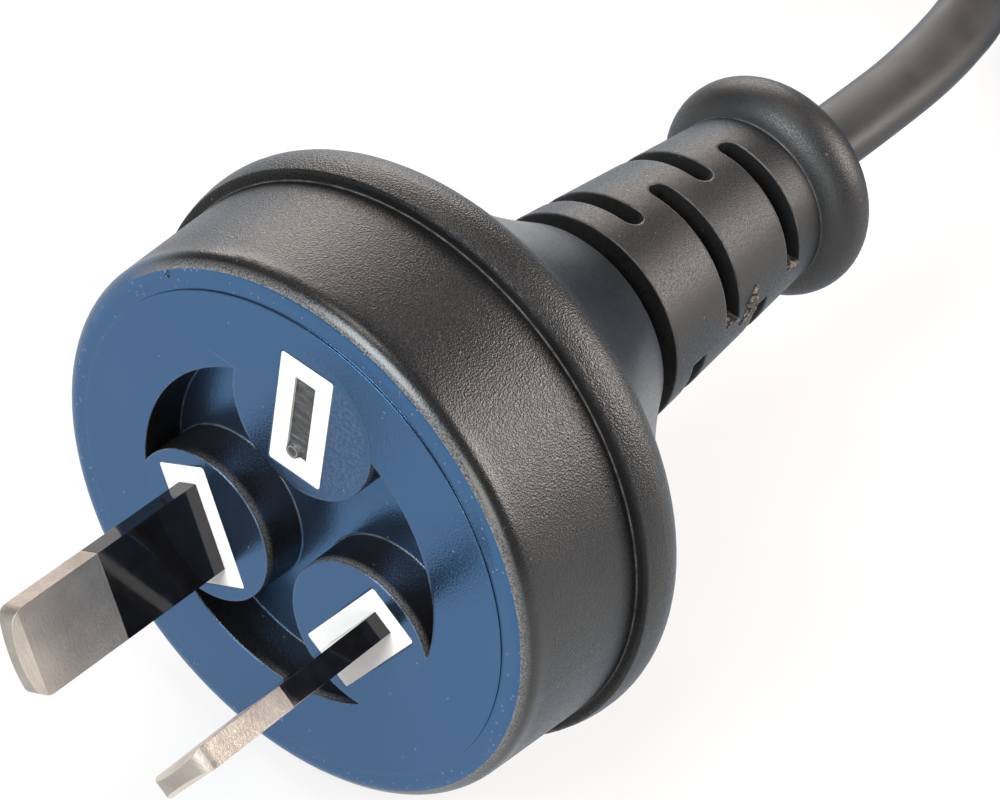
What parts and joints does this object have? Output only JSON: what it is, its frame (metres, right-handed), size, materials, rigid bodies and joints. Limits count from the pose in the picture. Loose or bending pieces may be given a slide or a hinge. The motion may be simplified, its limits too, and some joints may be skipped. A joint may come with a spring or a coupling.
{
  "type": "type i plug",
  "caption": "Flat-blade mains plug moulded onto a flat cord, with a round flanged head, a slotted bend relief and a blank earth place; the cord's far end is bare.",
  "frame": {"origin": "centre of the engagement face, the flat front of the head that meets the outlet", "axes": "-Y along the pins, out of the face; +Y along the cord's exit; +Z towards the blank earth place; +X to the right seen from the front, towards the neutral pin"},
  "size_m": [0.0442, 0.2591, 0.0428],
  "materials": {
    "black_pvc": "fine moulded grain",
    "white_carrier": "smooth",
    "plated_brass": "fine brushed",
    "sleeve_black": "glossy",
    "copper": "bright strand",
    "core_brown": "satin",
    "core_blue": "satin",
    "cord_pvc": "satin",
    "tie_plastic": "satin"
  },
  "bodies": {
    "root": {"plug_body": "black_pvc", "pin_carrier": "white_carrier", "active_pin": "plated_brass", "neutral_pin": "plated_brass", "active_pin_sleeve": "sleeve_black", "neutral_pin_sleeve": "sleeve_black", "active_strands": "copper", "neutral_strands": "copper", "active_core": "core_brown", "neutral_core": "core_blue", "cord_inlet": "cord_pvc", "cord": "cord_pvc", "cord_hank": "cord_pvc", "hank_tie_left": "tie_plastic", "hank_tie_right": "tie_plastic", "cord_tail": "cord_pvc", "active_tail": "core_brown", "active_tip": "copper", "neutral_tail": "core_blue", "neutral_tip": "copper"}
  },
  "joints": []
}
